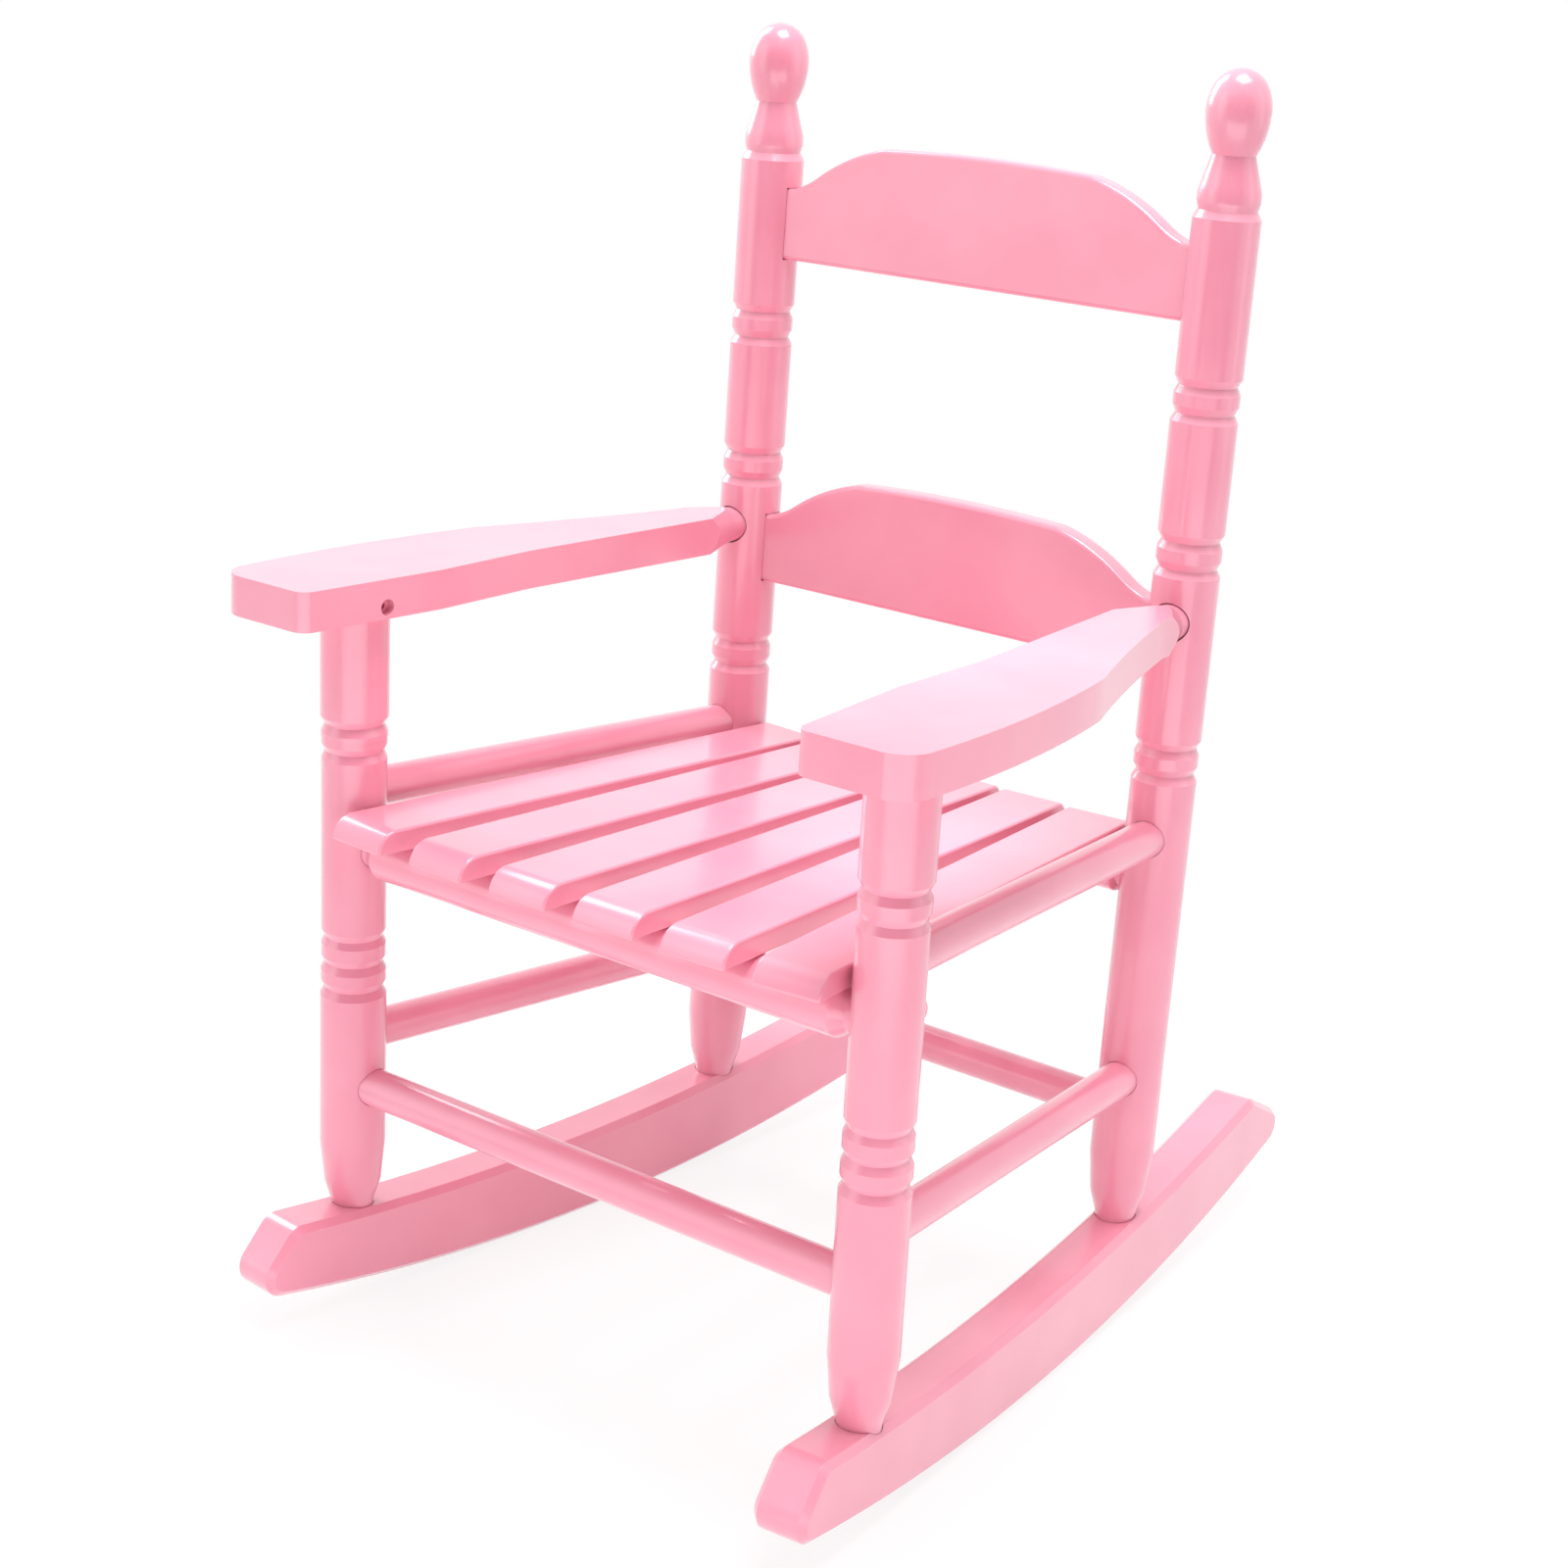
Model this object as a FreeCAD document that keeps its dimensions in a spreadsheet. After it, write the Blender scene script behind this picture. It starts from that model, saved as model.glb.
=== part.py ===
import FreeCAD, Part
import math
import os
from types import SimpleNamespace
import Sketcher
from FreeCAD import Placement, Rotation, Vector

# A child's rocking chair of turned posts, dowel rails, sawn slats and arms, on two curved rockers.
# Chair frame while building: X to the sitter's left, -Y to the front, Z along the front legs.
# Heights are measured from the lowest point of the rockers' curve.

sizes = {
    # plan of the four posts
    "front_spacing": 290,
    "back_spacing": 245,
    "post_depth": 246,
    "post_rake": 1.4,
    "rake_level": 170.2,
    # turned posts
    "post_diameter": 30,
    "leg_upper_diameter": 30.2,
    "leg_middle_diameter": 29,
    "foot_diameter": 19.4,
    "foot_bend_diameter": 26,
    "foot_bend": 12,
    "foot_taper": 32,
    "foot_tenon": 26,
    "foot_clear": 0.9,
    "bead_diameter": 29.4,
    "groove_pitch": 12.3,
    "groove_width": 7,
    "groove_diameter": 26,
    "leg_ring_drop": 75,
    "leg_low_rings": 170.2,
    "post_top_groove": 518.7,
    "post_high_rings": 437.2,
    "post_mid_rings": 368.2,
    "post_low_rings": 273.2,
    # finials
    "finial_diameter": 28.2,
    "finial_level": 560.4,
    "finial_rise": 17.7,
    "finial_side_round": 23,
    "neck_diameter": 19.1,
    "neck_level": 541.9,
    "cup_diameter": 27.8,
    "cup_level": 526.2,
    # dowels
    "side_seat_rail_diameter": 17.6,
    "side_seat_rail_front": 250.5,
    "side_seat_rail_back": 236.5,
    "seat_rail_diameter": 22.8,
    "rail_neck_diameter": 15.5,
    "front_rail_neck": 0.8,
    "front_rail_shoulder": 5.5,
    "back_rail_neck": 0.6,
    "back_rail_shoulder": 1.5,
    "front_rail_level": 225.3,
    "back_rail_level": 215.7,
    "stretcher_diameter": 17.5,
    "front_stretcher_level": 111.2,
    "back_stretcher_level": 98.2,
    "side_stretcher_front": 133.5,
    "side_stretcher_back": 118.2,
    "tenon_stop": 3,
    "tenon_fit": 0.15,
    # back slats
    "slat_end_height": 33.5,
    "slat_end_gap": 1.5,
    "slat_knee_height": 39.8,
    "slat_knee_run": 13,
    "slat_knee_round": 40,
    "slat_crown_height": 57,
    "slat_shoulder_run": 37.5,
    "slat_shoulder_round": 100,
    "slat_crown_round": 900,
    "slat_thickness": 11,
    "crest_level": 469.2,
    "lower_slat_level": 311.5,
    # armrests
    "arm_level": 351.2,
    "arm_thickness": 17.6,
    "arm_drop": 3.8,
    "arm_seat": 0.4,
    "arm_front": 48,
    "arm_inner": 21.6,
    "arm_inner_round": 7,
    "arm_flare": 30,
    "arm_waist": 88,
    "arm_waist_inner": 15.8,
    "arm_outer": 31,
    "arm_front_round": 14,
    "arm_outer_round": 580,
    "arm_bend": 100,
    "arm_bend_outer": 33,
    "arm_sweep_round": 1000,
    "arm_tail_inner": 14,
    "arm_tail_outer": 11,
    "arm_tail_diameter": 17.2,
    "arm_tail": 3,
    "arm_tail_stop": 7.2,
    "arm_tail_fit": 0.35,
    "arm_turned": 26,
    "arm_turned_diameter": 35,
    "arm_turned_round": 120,
    "arm_tenon_diameter": 19,
    "arm_tenon": 12,
    "arm_screw_diameter": 6.8,
    "arm_screw_depth": 4,
    "arm_pilot_diameter": 3.2,
    "arm_pilot_depth": 11,
    "arm_screw_drop": 3.6,
    # seat
    "seat_slat_count": 6,
    "seat_slat_width": 31.6,
    "seat_slat_thickness": 10.6,
    "seat_nose": 29,
    "seat_tail": 5,
    "seat_side_gap": 1.4,
    "seat_fit": 0.1,
    # rockers
    "rocker_thickness": 25,
    "rocker_toe": 1.2,
    "rocker_depth": 42,
    "rocker_radius": 1120,
    "rocker_low_point": 173,
    "rocker_top_radius": 1500,
    "rocker_top_low_point": 150,
    "rocker_front_top": 43,
    "rocker_front": 68,
    "rocker_back_top": 378,
    "rocker_back": 432.5,
    "rocker_end_round": 10,
    "rocker_edge": 3,
}

doc = FreeCAD.newDocument("RockingChair")
sheet = doc.addObject("Spreadsheet::Sheet", "Sizes")
for row, (name, value) in enumerate(sizes.items(), 1):
    sheet.set(f"A{row}", name)
    sheet.set(f"B{row}", str(value))
    sheet.setAlias(f"B{row}", name)
doc.recompute()


class Dim:
    # a length together with the expression that ties it to the sheet
    def __init__(self, value, text):
        self.value = float(value)
        self.text = text

    def __add__(self, other):
        other = dim_of(other)
        return Dim(self.value + other.value, f"({self.text} + {other.text})")

    def __sub__(self, other):
        other = dim_of(other)
        return Dim(self.value - other.value, f"({self.text} - {other.text})")

    def __mul__(self, other):
        other = dim_of(other)
        return Dim(self.value * other.value, f"({self.text} * {other.text})")

    def __truediv__(self, other):
        other = dim_of(other)
        return Dim(self.value / other.value, f"({self.text} / {other.text})")

    def __neg__(self):
        return Dim(-self.value, f"(0 - {self.text})")


def dim_of(value):
    return value if isinstance(value, Dim) else Dim(value, str(value))


def root(dim):
    return Dim(math.sqrt(dim.value), f"sqrt({dim.text})")


size = SimpleNamespace(**{name: Dim(sheet.get(name), f"Sizes.{name}") for name in sizes})
axis = dim_of(0)
sides = {"left": 1, "right": -1}


# Sketches and features


def new_body(name):
    return doc.addObject("PartDesign::Body", name)


def bind(item, prop, dim):
    item.setExpression(prop, dim.text)


def corner(x, y, radius=None, turn=1):
    # one corner of an outline; with a radius, an arc leads on from it, turning left (1) or right (-1)
    return SimpleNamespace(x=dim_of(x), y=dim_of(y), radius=radius, turn=turn)


def arc_between(start, end, radius, turn):
    chord = end - start
    left = Vector(-chord.y, chord.x, 0).normalize()
    reach = math.sqrt(radius ** 2 - chord.Length ** 2 / 4)
    centre = (start + end) / 2 + left * (reach * turn)
    first, last = (start, end) if turn > 0 else (end, start)
    angles = [math.atan2(p.y - centre.y, p.x - centre.x) for p in (first, last)]
    circle = Part.Circle(centre, Vector(0, 0, 1), radius)
    return Part.ArcOfCircle(circle, *angles)


def fix_point(sketch, edge, end, x, y):
    # hold a sketch point at its two sizes from the origin
    for kind, dim, axis_edge in (("DistanceX", x, -2), ("DistanceY", y, -1)):
        if dim.value == 0:
            sketch.addConstraint(Sketcher.Constraint("PointOnObject", edge, end, axis_edge))
            continue
        index = sketch.addConstraint(Sketcher.Constraint(kind, -1, 1, edge, end, dim.value))
        sketch.setExpression(f"Constraints[{index}]", dim.text)


def new_sketch(body, role, offset=Placement()):
    sketch = body.newObject("Sketcher::SketchObject", f"{body.Name}_sketch")
    origin = [item for item in body.Origin.OriginFeatures if item.Role == role][0]
    sketch.AttachmentSupport = (origin, "")
    sketch.MapMode = "FlatFace"
    sketch.AttachmentOffset = offset
    return sketch


def outline(body, role, corners, offset=Placement()):
    # closed outline through its corners, with every corner and radius bound to the sheet
    sketch = new_sketch(body, role, offset)
    points = [Vector(c.x.value, c.y.value, 0) for c in corners]
    starts, ends = [], []
    for i, c in enumerate(corners):
        start, end = points[i], points[(i + 1) % len(points)]
        if c.radius is None:
            edge = sketch.addGeometry(Part.LineSegment(start, end), False)
        else:
            edge = sketch.addGeometry(arc_between(start, end, c.radius.value, c.turn), False)
            index = sketch.addConstraint(Sketcher.Constraint("Radius", edge, c.radius.value))
            sketch.setExpression(f"Constraints[{index}]", c.radius.text)
        forward = c.radius is None or c.turn > 0
        starts.append((edge, 1 if forward else 2))
        ends.append((edge, 2 if forward else 1))
    for i, c in enumerate(corners):
        sketch.addConstraint(Sketcher.Constraint("Coincident", *ends[i - 1], *starts[i]))
        fix_point(sketch, *starts[i], c.x, c.y)
    return sketch


def turn(body, sketch, kind="PartDesign::Revolution", line="V_Axis"):
    feature = body.newObject(kind, f"{body.Name}_turned")
    feature.Profile = sketch
    feature.ReferenceAxis = (sketch, [line])
    feature.Angle = 360
    return feature


def pad(body, sketch, thickness):
    feature = body.newObject("PartDesign::Pad", f"{body.Name}_pad")
    feature.Profile = sketch
    feature.SideType = "Symmetric"
    bind(feature, "Length", thickness)
    return feature


def ease(body, kind, prop, amount, chosen):
    # round or break the edges of the body's last feature that the test picks
    doc.recompute()
    base = body.Tip
    names = [f"Edge{i}" for i, edge in enumerate(base.Shape.Edges, 1) if chosen(edge)]
    feature = body.newObject(f"PartDesign::{kind}", f"{body.Name}_eased")
    feature.Base = (base, names)
    bind(feature, prop, amount)


def along(start, end):
    # placement with its Z axis from start towards end
    return Placement(start, Rotation(Vector(0, 0, 1), end - start))


def drill(name, start, end, diameter, length):
    # cutter for a round mortise that opens from start towards end
    tool = doc.addObject("Part::Cylinder", name)
    bind(tool, "Radius", diameter / 2 + size.tenon_fit)
    bind(tool, "Height", length)
    tool.Placement = along(start, end)
    return tool


def bored(label, base, tools):
    joined = doc.addObject("Part::MultiFuse", f"{label}_mortises")
    joined.Shapes = tools
    piece = doc.addObject("Part::Cut", label)
    piece.Base = base
    piece.Tool = joined
    piece.Label = label
    return piece


# Places of the posts


def back_y(level):
    # the raked back posts' axis at a height
    rake = math.radians(size.post_rake.value)
    return size.post_depth.value + math.tan(rake) * (level - size.rake_level.value)


def front_point(side, level):
    return Vector(side * size.front_spacing.value / 2, 0, level)


def back_point(side, level):
    return Vector(side * size.back_spacing.value / 2, back_y(level), level)


def arc_rise(radius, run):
    return radius - root(radius * radius - run * run)


def rocker_top_at(run):
    return size.rocker_depth + arc_rise(size.rocker_top_radius, run - size.rocker_top_low_point)


# Turned posts


def rings(body, level, count, below, above):
    # a run of turned grooves with beads between, cut into a post at a height
    bead = size.bead_diameter / 2
    half_width = size.groove_width / 2
    cleared = size.post_diameter / 2 + size.groove_width
    first = level - size.groove_pitch * (count - 1) / 2
    corners = [corner(cleared, first - half_width)]
    for i in range(count):
        middle = first + size.groove_pitch * i
        corners += [
            corner(below / 2 if i == 0 else bead, middle - half_width),
            corner(size.groove_diameter / 2, middle),
            corner(above / 2 if i == count - 1 else bead, middle + half_width),
        ]
    corners.append(corner(cleared, middle + half_width))
    turn(body, outline(body, "XZ_Plane", corners), "PartDesign::Groove")


def foot(shoulder, diameter):
    # tenon and bulging taper at the lower end of a post
    return [
        corner(axis, shoulder - size.foot_tenon),
        corner(size.foot_diameter / 2, shoulder - size.foot_tenon),
        corner(size.foot_diameter / 2, shoulder + size.foot_clear),
        corner(size.foot_bend_diameter / 2, shoulder + size.foot_bend),
        corner(diameter / 2, shoulder + size.foot_taper),
    ]


def front_leg(label):
    body = new_body(f"{label}_turning")
    top = size.arm_level - size.arm_thickness - size.arm_seat
    top_rings = size.arm_level - size.leg_ring_drop
    corners = foot(rocker_top_at(axis), size.post_diameter)
    corners += [
        corner(size.post_diameter / 2, size.leg_low_rings),
        corner(size.leg_middle_diameter / 2, size.leg_low_rings),
        corner(size.leg_middle_diameter / 2, top_rings),
        corner(size.leg_upper_diameter / 2, top_rings),
        corner(size.leg_upper_diameter / 2, top),
        corner(size.arm_tenon_diameter / 2, top),
        corner(size.arm_tenon_diameter / 2, top + size.arm_tenon),
        corner(axis, top + size.arm_tenon),
    ]
    turn(body, outline(body, "XZ_Plane", corners))
    rings(body, size.leg_low_rings, 3, size.post_diameter, size.leg_middle_diameter)
    rings(body, top_rings, 2, size.leg_middle_diameter, size.leg_upper_diameter)
    return body


def finial():
    # cup, neck and egg-shaped knob at the top of a back post
    side = size.finial_side_round
    radius = size.finial_diameter / 2
    rise = size.finial_rise
    inset = side - radius
    cap = (side * side - inset * inset - rise * rise) / ((side - rise) * 2)
    meet = cap / (side - cap)
    neck = size.neck_diameter / 2
    cup = size.cup_diameter / 2
    neck_run = size.finial_level - size.neck_level
    neck_step = radius - neck
    lower_round = (neck_run * neck_run + neck_step * neck_step) / (neck_step * 2)
    return [
        corner(cup, size.cup_level),
        corner(neck, size.neck_level, lower_round, 1),
        corner(radius, size.finial_level, side, 1),
        corner(meet * inset, size.finial_level + rise - cap + meet * (rise - cap), cap, 1),
        corner(axis, size.finial_level + rise),
    ]


def back_post(label):
    body = new_body(f"{label}_turning")
    radius = size.post_diameter / 2
    shoulder = rocker_top_at(dim_of(rocker_run()))
    corners = foot(shoulder, size.post_diameter)
    corners += [
        corner(radius, size.post_top_groove),
        corner(size.cup_diameter / 2, size.post_top_groove),
    ]
    turn(body, outline(body, "XZ_Plane", corners + finial()))
    rings(body, size.post_top_groove, 1, size.post_diameter, size.cup_diameter)
    for level in (size.post_high_rings, size.post_mid_rings, size.post_low_rings):
        rings(body, level, 2, size.post_diameter, size.post_diameter)
    return body


# Dowels


def dowel(label, start, end, diameter):
    # plain dowel between two post axes, stopped short of them
    body = new_body(label)
    half = dim_of((end - start).Length) / 2 - size.tenon_stop
    corners = [
        corner(axis, -half),
        corner(diameter / 2, -half),
        corner(diameter / 2, half),
        corner(axis, half),
    ]
    turn(body, outline(body, "XZ_Plane", corners))
    body.Placement = along((start + end) / 2, end)
    return body


def seat_rail(place, post_diameter):
    # thick dowel that narrows to a tenon at each post
    body = new_body(f"{place}_seat_rail")
    start, end = rail_line(f"{place}_rail")
    spacing = dim_of((end - start).Length) / 2
    half = spacing - size.tenon_stop
    neck = spacing - post_diameter / 2 - getattr(size, f"{place}_rail_neck")
    full = neck - getattr(size, f"{place}_rail_shoulder")
    thick = size.seat_rail_diameter / 2
    thin = size.rail_neck_diameter / 2
    corners = [
        corner(axis, -half),
        corner(thin, -half),
        corner(thin, -neck),
        corner(thick, -full),
        corner(thick, full),
        corner(thin, neck),
        corner(thin, half),
        corner(axis, half),
    ]
    turn(body, outline(body, "XZ_Plane", corners))
    body.Placement = along((start + end) / 2, end)
    return body


# Back slats


def back_slat(label, level):
    # board with a straight lower edge and a raised, shouldered top, tongued into the posts
    body = new_body(label)
    half = size.back_spacing / 2 - size.tenon_stop
    low, knee, crown = size.slat_end_height, size.slat_knee_height, size.slat_crown_height
    end_x = (size.back_spacing - size.post_diameter) / 2 - size.slat_end_gap
    knee_x = end_x - size.slat_knee_run
    crown_x = knee_x - size.slat_shoulder_run
    corners = [
        corner(-half, axis),
        corner(half, axis),
        corner(half, low),
        corner(end_x, low, size.slat_knee_round, -1),
        corner(knee_x, knee, size.slat_shoulder_round, 1),
        corner(crown_x, crown, size.slat_crown_round, 1),
        corner(-crown_x, crown, size.slat_shoulder_round, 1),
        corner(-knee_x, knee, size.slat_knee_round, -1),
        corner(-end_x, low),
        corner(-half, low),
    ]
    pad(body, outline(body, "XZ_Plane", corners), size.slat_thickness)
    rake = Rotation(Vector(1, 0, 0), -size.post_rake.value)
    body.Placement = Placement(Vector(0, back_y(level.value), level.value), rake)
    return body


def slat_mortise(name, side, level):
    # slot in a back post for the end of a slat
    tool = doc.addObject("Part::Box", name)
    bind(tool, "Length", size.post_diameter)
    bind(tool, "Width", size.slat_thickness + size.tenon_fit * 2)
    bind(tool, "Height", size.slat_end_height + size.tenon_fit * 2)
    rake = Rotation(Vector(1, 0, 0), -size.post_rake.value)
    inner = size.back_spacing.value / 2 - size.tenon_stop.value + size.tenon_fit.value
    left = inner - size.post_diameter.value if side > 0 else -inner
    fit = size.tenon_fit.value
    place = Placement(Vector(0, back_y(level.value), level.value), rake)
    shift = Placement(Vector(left, -size.slat_thickness.value / 2 - fit, -fit), Rotation())
    tool.Placement = place.multiply(shift)
    return tool


# Armrests


def arm_frame(side):
    # placement with X outward, Y along the arm to the back post and Z up, on the leg's axis
    level = size.arm_level.value - size.arm_thickness.value / 2
    start = front_point(side, level)
    end = back_point(side, level - size.arm_drop.value)
    back = (end - start).normalize()
    out = back.cross(Vector(0, 0, 1))
    return Placement(start, Rotation(out, back, out.cross(back), "YXZ")), (end - start).Length


def armrest(label, side):
    # paddle board with a rounded front, turned down at the tail to a round tenon
    body = new_body(label)
    place, run = arm_frame(side)
    end = dim_of(run) - size.arm_tail_stop
    tail = dim_of(run) - size.post_diameter / 2 - size.arm_tail
    sweep_end = tail - size.arm_turned
    outer, inner = size.arm_outer, size.arm_inner
    big, small = size.arm_front_round, size.arm_inner_round
    splay = (size.front_spacing - size.back_spacing) / size.post_depth / 2

    def front_at(out):
        # the front edge runs straight across the chair
        return -(size.arm_front + out * splay)

    corners = [
        corner(-size.arm_tail_inner * side, end),
        corner(-size.arm_waist_inner * side, size.arm_waist),
        corner(-inner * side, size.arm_flare),
        corner(-inner * side, front_at(-inner) + small, small, side),
        corner((small - inner) * side, front_at(small - inner)),
        corner((outer - big) * side, front_at(outer - big), big, side),
        corner(outer * side, front_at(outer) + big, size.arm_outer_round, side),
        corner(size.arm_bend_outer * side, size.arm_bend, size.arm_sweep_round, -side),
        corner(size.arm_tail_outer * side, sweep_end),
        corner(size.arm_tail_outer * side, end),
    ]
    pad(body, outline(body, "XY_Plane", corners), size.arm_thickness)
    tail_half = size.arm_tail_diameter / 2
    cleared = size.arm_turned_diameter
    turned = [
        corner(tail_half, end + size.arm_tail_stop),
        corner(tail_half, tail, size.arm_turned_round, 1),
        corner(size.arm_turned_diameter / 2, sweep_end),
        corner(cleared, sweep_end),
        corner(cleared, end + size.arm_tail_stop),
    ]
    turn(body, outline(body, "XY_Plane", turned), "PartDesign::Groove")
    body.Placement = place
    return body


def arm_mortises(label, side):
    # blind hole for the leg's tenon and the stepped screw hole in the arm's inner edge
    top = size.arm_level.value - size.arm_thickness.value
    start = front_point(side, top + size.arm_tenon.value + size.tenon_fit.value)
    hole = drill(f"{label}_leg_hole", start, front_point(side, 0), size.arm_tenon_diameter,
                 size.arm_thickness)
    place, _ = arm_frame(side)
    inner_edge = -side * size.arm_inner.value

    def edge_hole(name, diameter, depth):
        reach, drop = side * depth.value, -size.arm_screw_drop.value
        deep = place.multVec(Vector(inner_edge + reach, 0, drop))
        out = place.multVec(Vector(inner_edge - reach, 0, drop))
        return drill(f"{label}_{name}", deep, out, diameter, depth * 2)

    head = edge_hole("screw_head_hole", size.arm_screw_diameter, size.arm_screw_depth)
    pilot = edge_hole("screw_pilot_hole", size.arm_pilot_diameter, size.arm_pilot_depth)
    return [hole, head, pilot]


# Seat


def seat_frame():
    # the plane that lies on top of both seat rails
    front = Vector(0, 0, size.front_rail_level.value)
    back = Vector(0, back_y(size.back_rail_level.value), size.back_rail_level.value)
    lift = size.seat_rail_diameter.value / 2 + size.seat_fit.value
    back_way = (back - front).normalize()
    normal = Vector(1, 0, 0).cross(back_way)
    return front + normal * lift, back + normal * lift, normal


def seat_pitch(spacing, post_diameter):
    # spacing of the slats that just fit between two posts
    clear = spacing - post_diameter - size.seat_side_gap * 2 - size.seat_slat_width
    return clear / (size.seat_slat_count - 1)


def seat_slat(label, number):
    # slat with a rounded nose over the front rail, fanned to follow the narrower back
    body = new_body(label)
    front, back, normal = seat_frame()
    place = number - (size.seat_slat_count.value + 1) / 2
    start = front + Vector(place * seat_pitch(size.front_spacing, size.leg_middle_diameter).value, 0, 0)
    end = back + Vector(place * seat_pitch(size.back_spacing, size.post_diameter).value, 0, 0)
    thick = size.seat_slat_thickness
    nose, tail = -size.seat_nose, dim_of((end - start).Length) + size.seat_tail
    corners = [
        corner(nose, axis),
        corner(tail, axis),
        corner(tail, thick / 2, thick / 2, 1),
        corner(tail - thick / 2, thick),
        corner(nose + thick, thick, thick, 1),
    ]
    pad(body, outline(body, "YZ_Plane", corners), size.seat_slat_width)
    way = (end - start).normalize()
    body.Placement = Placement(start, Rotation(way.cross(normal), way, normal, "ZYX"))
    return body


# Rockers


def rocker_frame(side):
    # placement with X along the rocker from beside the leg's axis and Z up
    toe = Vector(side * size.rocker_toe.value, 0, 0)
    start, end = front_point(side, 0) - toe, back_point(side, size.rocker_depth.value) + toe
    way = Vector(end.x - start.x, end.y - start.y, 0)
    return Placement(start, Rotation(Vector(1, 0, 0), way)), way.Length


def rocker_run():
    return rocker_frame(1)[1]


def rocker_bottom_at(run):
    return arc_rise(size.rocker_radius, run - size.rocker_low_point)


def rocker(label, side):
    # board sawn to two long curves with slanted ends
    body = new_body(f"{label}_board")
    front, back = -size.rocker_front, size.rocker_back
    front_top, back_top = -size.rocker_front_top, size.rocker_back_top
    corners = [
        corner(front, rocker_bottom_at(front), size.rocker_radius, 1),
        corner(back, rocker_bottom_at(back)),
        corner(back_top, rocker_top_at(back_top), size.rocker_top_radius, -1),
        corner(front_top, rocker_top_at(front_top)),
    ]
    pad(body, outline(body, "XZ_Plane", corners), size.rocker_thickness)

    def cross_edge(edge):
        return edge.BoundBox.YLength > size.rocker_thickness.value / 2

    def long_edge(edge):
        return not cross_edge(edge)

    ease(body, "Fillet", "Radius", size.rocker_end_round, cross_edge)
    ease(body, "Chamfer", "Size", size.rocker_edge, long_edge)
    body.Placement, _ = rocker_frame(side)
    return body


def rocker_mortises(label, side):
    # blind holes for the feet of the leg and the post
    deep = size.foot_tenon.value + size.tenon_fit.value
    front_deep = front_point(side, rocker_top_at(axis).value - deep)
    back_deep = back_point(side, rocker_top_at(dim_of(rocker_run())).value - deep)
    length = size.foot_tenon + size.rocker_depth / 2
    up = size.arm_level.value
    return [
        drill(f"{label}_leg_hole", front_deep, front_point(side, up), size.foot_diameter, length),
        drill(f"{label}_post_hole", back_deep, back_point(side, up), size.foot_diameter, length),
    ]


# Assembly


def post_drill(name, start, end, diameter, stop=size.tenon_stop):
    # mortise in the post at start for a dowel that runs to end, stopped short of the post's axis
    way = (end - start).normalize()
    deep = start + way * (stop.value - size.tenon_fit.value)
    return drill(name, deep, end, diameter, size.post_diameter)


def rail_line(name, side=-1):
    # the two ends of a cross rail on the post axes, from the given side to the other
    level = getattr(size, f"{name}_level").value
    point = front_point if name.startswith("front") else back_point
    return point(side, level), point(-side, level)


def side_line(name, side):
    front, back = getattr(size, f"{name}_front").value, getattr(size, f"{name}_back").value
    return front_point(side, front), back_point(side, back)


side_dowels = {
    "side_seat_rail": size.side_seat_rail_diameter,
    "side_stretcher": size.stretcher_diameter,
}
cross_dowels = {"rail": size.rail_neck_diameter, "stretcher": size.stretcher_diameter}
pieces = []
for word, side in sides.items():
    leg_label, post_label = f"front_leg_{word}", f"back_post_{word}"
    leg, post = front_leg(leg_label), back_post(post_label)
    leg.Placement = Placement(front_point(side, 0), Rotation())
    post.Placement = Placement(back_point(side, 0), Rotation(Vector(1, 0, 0), -size.post_rake.value))
    leg_tools, post_tools = [], []
    for name, diameter in side_dowels.items():
        front, back = side_line(name, side)
        pieces.append(dowel(f"{name}_{word}", front, back, diameter))
        leg_tools.append(post_drill(f"{leg_label}_{name}", front, back, diameter))
        post_tools.append(post_drill(f"{post_label}_{name}", back, front, diameter))
    for name, diameter in cross_dowels.items():
        for tools, place, label in ((leg_tools, "front", leg_label), (post_tools, "back", post_label)):
            start, end = rail_line(f"{place}_{name}", side)
            tools.append(post_drill(f"{label}_{name}", start, end, diameter))
    arm_label, rocker_label = f"armrest_{word}", f"rocker_{word}"
    place, run = arm_frame(side)
    arm_end = place.multVec(Vector(0, run, 0))
    arm_socket = size.arm_tail_diameter + size.arm_tail_fit * 2
    post_tools.append(post_drill(f"{post_label}_arm", arm_end, place.Base, arm_socket, size.arm_tail_stop))
    for name in ("crest_level", "lower_slat_level"):
        post_tools.append(slat_mortise(f"{post_label}_{name}", side, getattr(size, name)))
    pieces.append(bored(leg_label, leg, leg_tools))
    pieces.append(bored(post_label, post, post_tools))
    pieces.append(bored(arm_label, armrest(f"{arm_label}_board", side), arm_mortises(arm_label, side)))
    pieces.append(bored(rocker_label, rocker(rocker_label, side), rocker_mortises(rocker_label, side)))

pieces.append(seat_rail("front", size.leg_middle_diameter))
pieces.append(seat_rail("back", size.post_diameter))
for name in ("front_stretcher", "back_stretcher"):
    pieces.append(dowel(name, *rail_line(name), size.stretcher_diameter))
pieces.append(back_slat("crest_slat", size.crest_level))
pieces.append(back_slat("lower_back_slat", size.lower_slat_level))
for number in range(1, int(size.seat_slat_count.value) + 1):
    pieces.append(seat_slat(f"seat_slat_{number}", number))
doc.recompute()


# Rest attitude: the chair settles with its centre of mass below the centre of the rockers' curve


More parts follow.
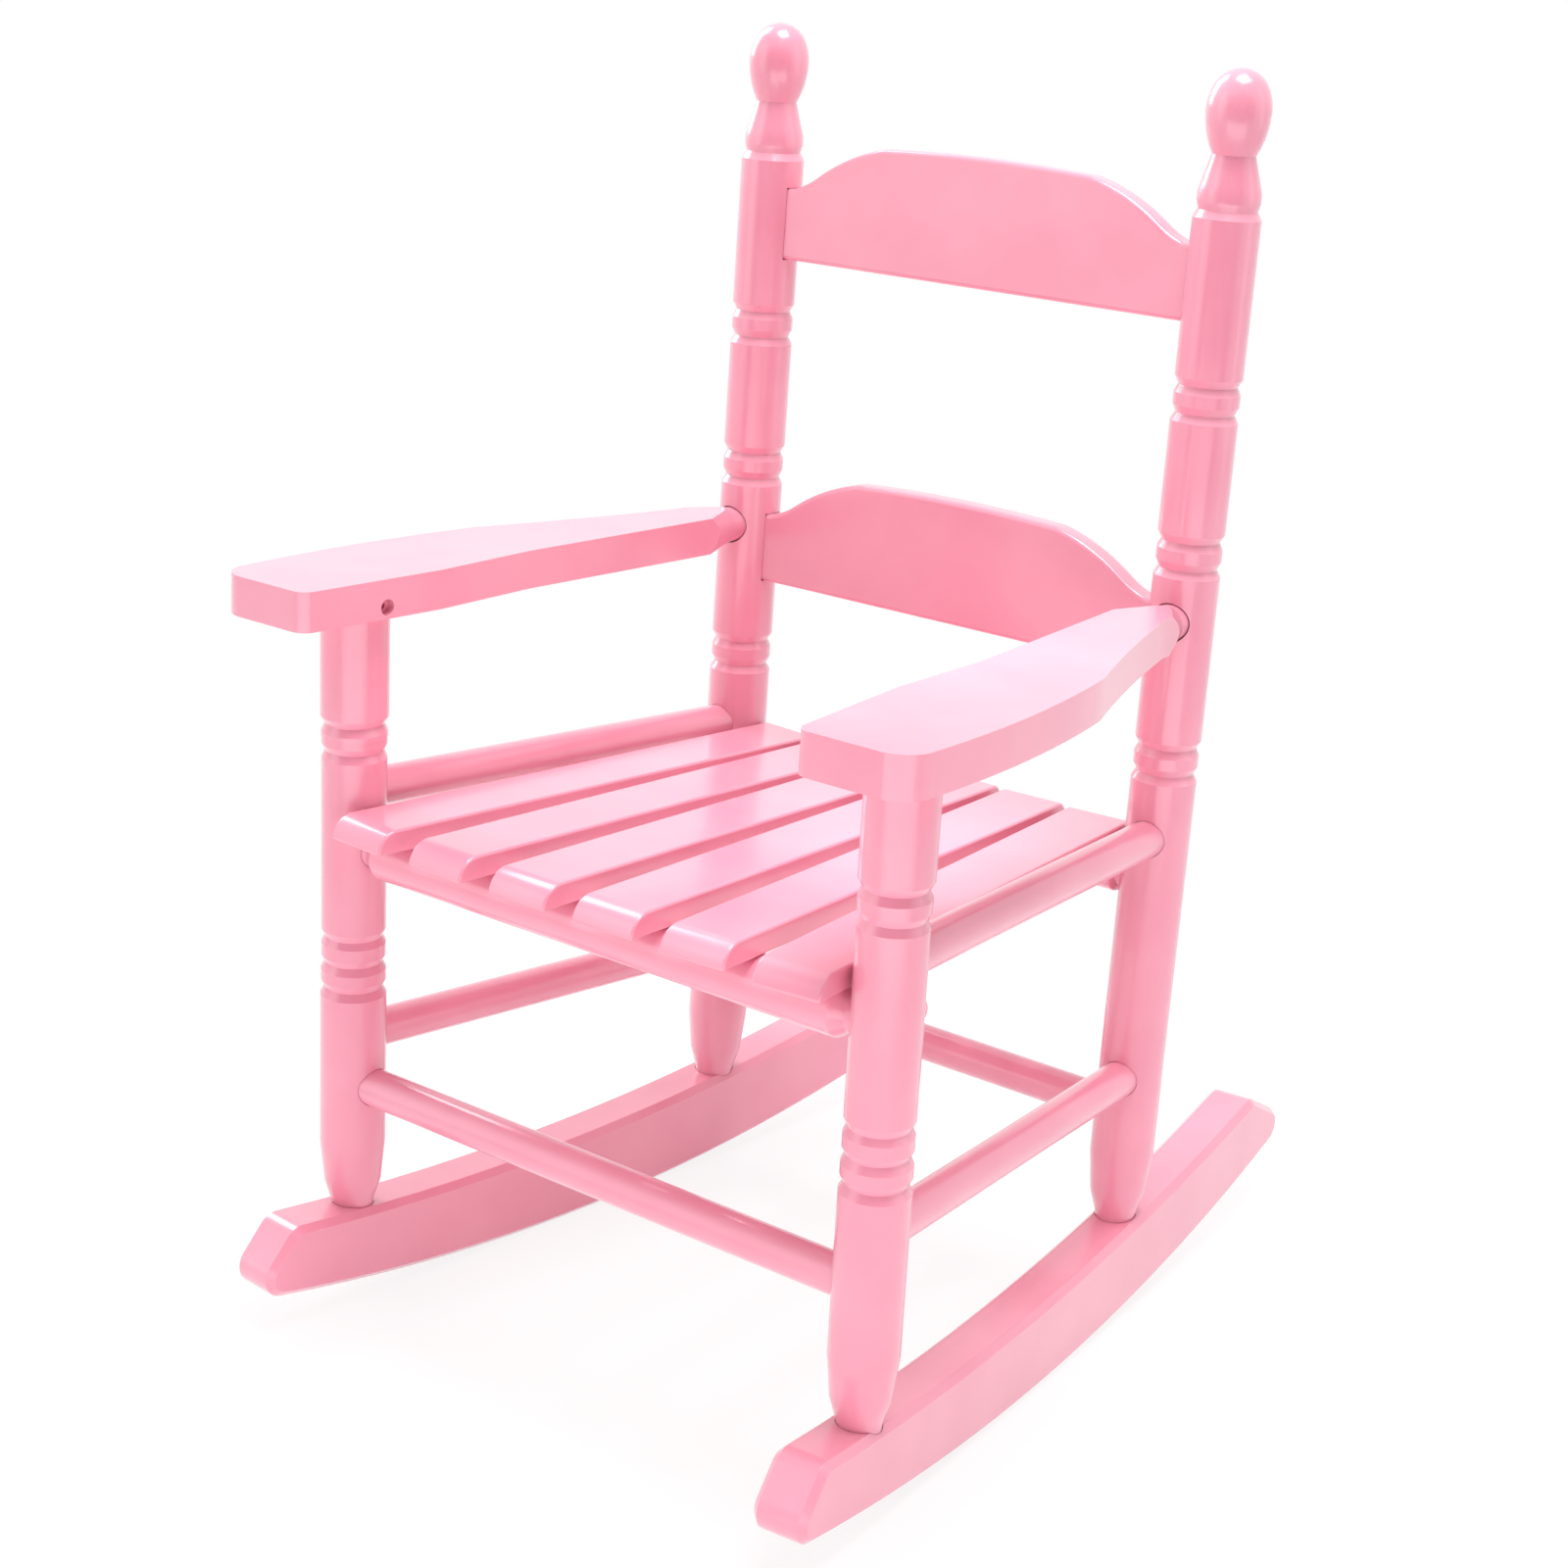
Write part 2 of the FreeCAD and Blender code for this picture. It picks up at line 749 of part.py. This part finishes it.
def rest_placement():
    solids = [solid for piece in pieces for solid in piece.Shape.Solids]
    volume = sum(solid.Volume for solid in solids)
    mass_y = sum(solid.Volume * solid.CenterOfMass.y for solid in solids) / volume
    mass_z = sum(solid.Volume * solid.CenterOfMass.z for solid in solids) / volume
    place, _ = rocker_frame(1)
    centre = place.multVec(Vector(size.rocker_low_point.value, 0, size.rocker_radius.value))
    lean = math.degrees(math.atan2(centre.y - mass_y, centre.z - mass_z))
    print(f"centre of mass {mass_y:.2f}, {mass_z:.2f}; rocker centre {centre.y:.2f}; lean {lean:.3f}")
    settled = Placement(Vector(), Rotation(Vector(1, 0, 0), lean))
    drop = settled.multVec(Vector(0, centre.y, centre.z)).z - size.rocker_radius.value
    settled.Base = Vector(0, 0, -drop)
    return settled


def place_all(move):
    for piece in pieces:
        piece.Placement = move.multiply(piece.Placement)
    doc.recompute()


place_all(rest_placement())
footprint = Part.makeCompound([piece.Shape for piece in pieces]).optimalBoundingBox(False)
place_all(Placement(Vector(0, -(footprint.YMin + footprint.YMax) / 2, 0), Rotation()))

for item in doc.Objects:
    if "Invalid" in item.State or "Error" in item.State:
        raise RuntimeError(f"{item.Name} did not build: {item.State}")
os.makedirs("parts", exist_ok=True)
for piece in pieces:
    if piece.Shape.isNull() or not piece.Shape.isValid() or len(piece.Shape.Solids) != 1:
        raise RuntimeError(f"{piece.Label} is not one valid solid")
for piece in pieces:
    piece.Shape.exportStep(f"parts/{piece.Label}.step")
whole = Part.makeCompound([piece.Shape for piece in pieces]).optimalBoundingBox(False)
print(f"{len(pieces)} pieces, box {whole.XLength:.1f} x {whole.YLength:.1f} x {whole.ZLength:.1f} mm")
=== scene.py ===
import bpy
import math
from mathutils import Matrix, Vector

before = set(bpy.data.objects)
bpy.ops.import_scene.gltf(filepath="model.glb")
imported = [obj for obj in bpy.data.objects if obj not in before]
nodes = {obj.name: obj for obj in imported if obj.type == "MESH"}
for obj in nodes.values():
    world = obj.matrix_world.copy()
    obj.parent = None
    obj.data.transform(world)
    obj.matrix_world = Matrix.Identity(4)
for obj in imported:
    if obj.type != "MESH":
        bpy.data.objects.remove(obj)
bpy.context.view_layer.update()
mm = 0.001
print("frame loaded:", len(nodes), "pieces")


# Colours and nodes


def hexToLinear(code):
    # sRGB hex to the linear colour that the shader takes
    parts = [int(code[i:i + 2], 16) / 255 for i in (1, 3, 5)]
    linear = [c / 12.92 if c <= 0.04045 else ((c + 0.055) / 1.055) ** 2.4 for c in parts]
    return (*linear, 1.0)


def addNode(tree, kind, settings=None, inputs=None, links=None):
    # one node with its settings, constant inputs and incoming links
    node = tree.nodes.new(kind)
    for name, value in (settings or {}).items():
        setattr(node, name, value)
    for name, value in (inputs or {}).items():
        node.inputs[name].default_value = value
    for name, source in (links or {}).items():
        tree.links.new(source, node.inputs[name])
    return node


def newMaterial(name):
    material = bpy.data.materials.new(name)
    material.use_nodes = True
    material.node_tree.nodes.clear()
    return material, material.node_tree


# Pink enamel sprayed over sanded wood: a smooth satin-gloss skin that lets the grain
# show as a very faint relief and pools a little deeper where it ran

enamel = {
    "pink": "#E996AB",
    "deepPink": "#E791A7",
    "palePink": "#EB9BAF",
    "deepUpTo": 0.3,        # part of the cloudy pattern that is all deep pink
    "pinkAt": 0.5,
    "paleFrom": 0.72,
    "roughness": 0.3,
    "roughnessSpread": 0.012,
    "coat": 1.0,
    "coatRoughness": 0.17,
    "ior": 1.5,
    "patchMm": 45,          # cloudy change of film thickness
    "grainMm": 2.2,         # real pores are finer, drawn this coarse so that they show
    "grainStretch": 18,     # how much longer than wide a grain mark is
    "peelMm": 1.6,          # orange peel of the sprayed coat
    "reliefMm": 0.3,        # full height of grain and peel, before their shares below
    "grainDepth": 0.02,
    "peelDepth": 0.012,
}


def enamelAlong(name, axis):
    # enamel on wood whose grain runs along one axis
    material, tree = newMaterial(name)
    coords = addNode(tree, "ShaderNodeTexCoord").outputs["Object"]
    patchScale = 1 / (enamel["patchMm"] * mm)
    grainScale = 1 / (enamel["grainMm"] * mm)
    peelScale = 1 / (enamel["peelMm"] * mm)
    relief = enamel["reliefMm"] * mm
    stretch = [grainScale / enamel["grainStretch"] if i == axis else grainScale for i in range(3)]
    grainPlace = addNode(tree, "ShaderNodeMapping", inputs={"Scale": stretch},
                         links={"Vector": coords})
    patches = addNode(tree, "ShaderNodeTexNoise",
                      inputs={"Scale": patchScale, "Detail": 2.0},
                      links={"Vector": coords})
    grain = addNode(tree, "ShaderNodeTexNoise",
                    inputs={"Scale": 1.0, "Detail": 3.0, "Roughness": 0.6},
                    links={"Vector": grainPlace.outputs["Vector"]})
    peel = addNode(tree, "ShaderNodeTexNoise", inputs={"Scale": peelScale, "Detail": 1.0},
                   links={"Vector": coords})
    ramp = addNode(tree, "ShaderNodeValToRGB", links={"Fac": patches.outputs["Fac"]})
    stops = ramp.color_ramp.elements
    stops[0].position = enamel["deepUpTo"]
    stops[0].color = hexToLinear(enamel["deepPink"])
    stops[1].position = enamel["paleFrom"]
    stops[1].color = hexToLinear(enamel["palePink"])
    stops.new(enamel["pinkAt"]).color = hexToLinear(enamel["pink"])
    gloss = addNode(tree, "ShaderNodeMapRange", inputs={
        "To Min": enamel["roughness"] - enamel["roughnessSpread"],
        "To Max": enamel["roughness"] + enamel["roughnessSpread"]},
        links={"Value": grain.outputs["Fac"]})
    grainBump = addNode(tree, "ShaderNodeBump",
                        inputs={"Strength": enamel["grainDepth"], "Distance": relief},
                        links={"Height": grain.outputs["Fac"]})
    peelBump = addNode(tree, "ShaderNodeBump",
                       inputs={"Strength": enamel["peelDepth"], "Distance": relief},
                       links={"Height": peel.outputs["Fac"],
                              "Normal": grainBump.outputs["Normal"]})
    shader = addNode(tree, "ShaderNodeBsdfPrincipled", inputs={
        "IOR": enamel["ior"], "Coat Weight": enamel["coat"],
        "Coat Roughness": enamel["coatRoughness"]},
        links={"Base Color": ramp.outputs["Color"], "Roughness": gloss.outputs["Result"],
               "Normal": peelBump.outputs["Normal"]})
    addNode(tree, "ShaderNodeOutputMaterial", links={"Surface": shader.outputs["BSDF"]})
    return material


enamelX = enamelAlong("pinkEnamelAcross", 0)
enamelY = enamelAlong("pinkEnamelLengthwise", 1)
enamelZ = enamelAlong("pinkEnamelUpright", 2)


# Edges of the sawn and turned pieces, eased by sanding and the paint film

sanding = {
    "joinMm": 0.01,         # corners closer than this are one
    "flatDegrees": 0.5,     # faces that turn less than this are one flat face
    "edgeDegrees": 18,      # an edge that turns more than this is eased
}
edges = {
    # start of the node's name: (material, eased width in mm, segments)
    "front_leg": (enamelZ, 1.7, 4),
    "back_post": (enamelZ, 1.7, 4),
    "rocker": (enamelY, 2.0, 3),
    "armrest": (enamelY, 2.0, 4),
    "seat_slat": (enamelY, 1.3, 3),
    "side_": (enamelY, 0.6, 2),
    "front_s": (enamelX, 0.6, 2),
    "back_s": (enamelX, 0.6, 2),
    "crest_slat": (enamelX, 2.2, 4),
    "lower_back_slat": (enamelX, 2.2, 4),
}


def easeEdges(piece, width, segments):
    weld = piece.modifiers.new("joinFaces", "WELD")
    weld.merge_threshold = sanding["joinMm"] * mm
    flat = piece.modifiers.new("flatFaces", "DECIMATE")
    flat.decimate_type = "DISSOLVE"
    flat.angle_limit = math.radians(sanding["flatDegrees"])
    bevel = piece.modifiers.new("easedEdges", "BEVEL")
    bevel.width = width * mm
    bevel.segments = segments
    bevel.limit_method = "ANGLE"
    bevel.angle_limit = math.radians(sanding["edgeDegrees"])
    piece.modifiers.new("softShading", "WEIGHTED_NORMAL")


for name, piece in nodes.items():
    start = next(key for key in edges if name.startswith(key))
    material, width, segments = edges[start]
    piece.data.materials.clear()
    piece.data.materials.append(material)
    piece.data.shade_smooth()
    easeEdges(piece, width, segments)
print("enamel and eased edges on", len(nodes), "pieces")


# Floor, light and camera

studio = {
    "floorSide": 80.0,
    "floorDropMm": 0.2,     # keeps the paper just clear of the rockers
    "floor": "#F7F7F7",
    "shadowShare": 0.15,    # how much of the real floor shading the picture keeps under the chair
    "shadowReach": (0.35, 0.9),     # from here to there, in m from the middle, it fades out
    "world": 0.7,
    "lamps": {
        # name: (width and height in m, watts, place)
        "topLight": (1.0, 1.0, 35, (0.3, -0.1, 2.2)),
        "leftSide": (0.8, 1.8, 26, (-1.7, 0.2, 1.4)),
        "leftFront": (1.0, 1.8, 5, (-1.3, -1.75, 0.9)),
        "rightStrip": (0.4, 1.8, 2, (1.8, 0.9, 0.8)),
        "frontCard": (1.2, 0.6, 3.6, (0.42, -0.64, 0.03)),
    },
    "lampAim": (0, 0, 0.28),        # middle of the chair
    "spotPlace": (0.12, -0.2, 1.7),     # narrow lamp that reaches the seat between the arms
    "spotAim": (0.07, -0.06, 0.245),
    "spotPower": 43,
    "spotAngle": 13,
    "spotRadius": 0.1,
    "flag": "#864C5D",      # dark rose cloth behind the camera, keeps the turnings deep in front
    "flagSize": (4.0, 1.7),
    "flagPlace": (0.95, -1.41, 0.86),
    "cameraPlace": (0.69539, -1.02677, 0.6252),
    "cameraTurn": (72.8528, -3.9448, 36.9119),
    "cameraShift": (-0.0006, 0.0003),
    "lens": 64.1,
    "sensor": 36,
}


def seenRays(tree):
    # 1 for rays that show the backdrop itself: straight, in a reflection or through glass
    rays = addNode(tree, "ShaderNodeLightPath")
    glossy = addNode(tree, "ShaderNodeMath", {"operation": "MAXIMUM"},
                     links={0: rays.outputs["Is Camera Ray"], 1: rays.outputs["Is Glossy Ray"]})
    seen = addNode(tree, "ShaderNodeMath", {"operation": "MAXIMUM"},
                   links={0: glossy.outputs["Value"], 1: rays.outputs["Is Transmission Ray"]})
    return seen.outputs["Value"]


def turnTo(lamp, target):
    aim = Vector(target) - lamp.location
    lamp.rotation_euler = aim.to_track_quat("-Z", "Y").to_euler()


# the floor shows white far off, and some of its shading near the chair
bpy.ops.object.select_all(action="DESELECT")
bpy.ops.mesh.primitive_plane_add(size=studio["floorSide"],
                                 location=(0, 0, -studio["floorDropMm"] * mm))
floor = bpy.context.object
floor.name = "floor"
bpy.ops.object.transform_apply(location=True, rotation=False, scale=False)
floorPaper, tree = newMaterial("whitePaper")
matt = addNode(tree, "ShaderNodeBsdfDiffuse", inputs={"Color": hexToLinear(studio["floor"])})
glow = addNode(tree, "ShaderNodeEmission", inputs={"Strength": 1.0})
seen = seenRays(tree)
place = addNode(tree, "ShaderNodeTexCoord").outputs["Object"]
away = addNode(tree, "ShaderNodeVectorMath", {"operation": "LENGTH"}, links={0: place})
white = addNode(tree, "ShaderNodeMapRange", {"interpolation_type": "SMOOTHSTEP"}, inputs={
    "From Min": studio["shadowReach"][0], "From Max": studio["shadowReach"][1],
    "To Min": 1 - studio["shadowShare"], "To Max": 1.0}, links={"Value": away.outputs["Value"]})
share = addNode(tree, "ShaderNodeMath", {"operation": "MULTIPLY"},
                links={0: seen, 1: white.outputs["Result"]})
mixed = addNode(tree, "ShaderNodeMixShader", links={
    "Fac": share.outputs["Value"], 1: matt.outputs["BSDF"], 2: glow.outputs["Emission"]})
addNode(tree, "ShaderNodeOutputMaterial", links={"Surface": mixed.outputs["Shader"]})
floor.data.materials.append(floorPaper)

flagX, flagY = studio["flagPlace"][:2]
flagTurn = math.atan2(flagY, flagX) + math.radians(90)     # square to the chair
bpy.ops.mesh.primitive_plane_add(size=1, location=studio["flagPlace"],
                                 rotation=(math.radians(90), 0, flagTurn))
flag = bpy.context.object
flag.name = "flag"
flag.scale = (*studio["flagSize"], 1)
bpy.ops.object.transform_apply(location=True, rotation=True, scale=True)
flagCloth, tree = newMaterial("darkCloth")
cloth = addNode(tree, "ShaderNodeBsdfDiffuse", inputs={"Color": hexToLinear(studio["flag"])})
addNode(tree, "ShaderNodeOutputMaterial", links={"Surface": cloth.outputs["BSDF"]})
flag.data.materials.append(flagCloth)
flag.visible_camera = False

world = bpy.data.worlds.new("studio")
bpy.context.scene.world = world
world.use_nodes = True
tree = world.node_tree
tree.nodes.clear()
seen = seenRays(tree)
strength = addNode(tree, "ShaderNodeMapRange",
                   inputs={"To Min": studio["world"], "To Max": 1.0}, links={"Value": seen})
sky = addNode(tree, "ShaderNodeBackground", inputs={"Color": (1, 1, 1, 1)},
              links={"Strength": strength.outputs["Result"]})
addNode(tree, "ShaderNodeOutputWorld", links={"Surface": sky.outputs["Background"]})

for name, (width, height, power, place) in studio["lamps"].items():
    bpy.ops.object.light_add(type="AREA", location=place)
    lamp = bpy.context.object
    lamp.name = name
    lamp.data.shape = "RECTANGLE"
    lamp.data.size = width
    lamp.data.size_y = height
    lamp.data.energy = power
    lamp.visible_camera = False
    turnTo(lamp, studio["lampAim"])

bpy.ops.object.light_add(type="SPOT", location=studio["spotPlace"])
spot = bpy.context.object
spot.name = "seatSpot"
spot.data.energy = studio["spotPower"]
spot.data.spot_size = math.radians(studio["spotAngle"])
spot.data.spot_blend = 1.0     # fades from the middle out
spot.data.shadow_soft_size = studio["spotRadius"]
spot.visible_camera = False
turnTo(spot, studio["spotAim"])

bpy.ops.object.camera_add(location=studio["cameraPlace"],
                          rotation=[math.radians(turn) for turn in studio["cameraTurn"]])
camera = bpy.context.object
camera.data.lens = studio["lens"]
camera.data.sensor_width = studio["sensor"]
camera.data.shift_x, camera.data.shift_y = studio["cameraShift"]
bpy.context.scene.camera = camera
bpy.context.scene.view_settings.view_transform = "Standard"
print("floor, lights and camera set")
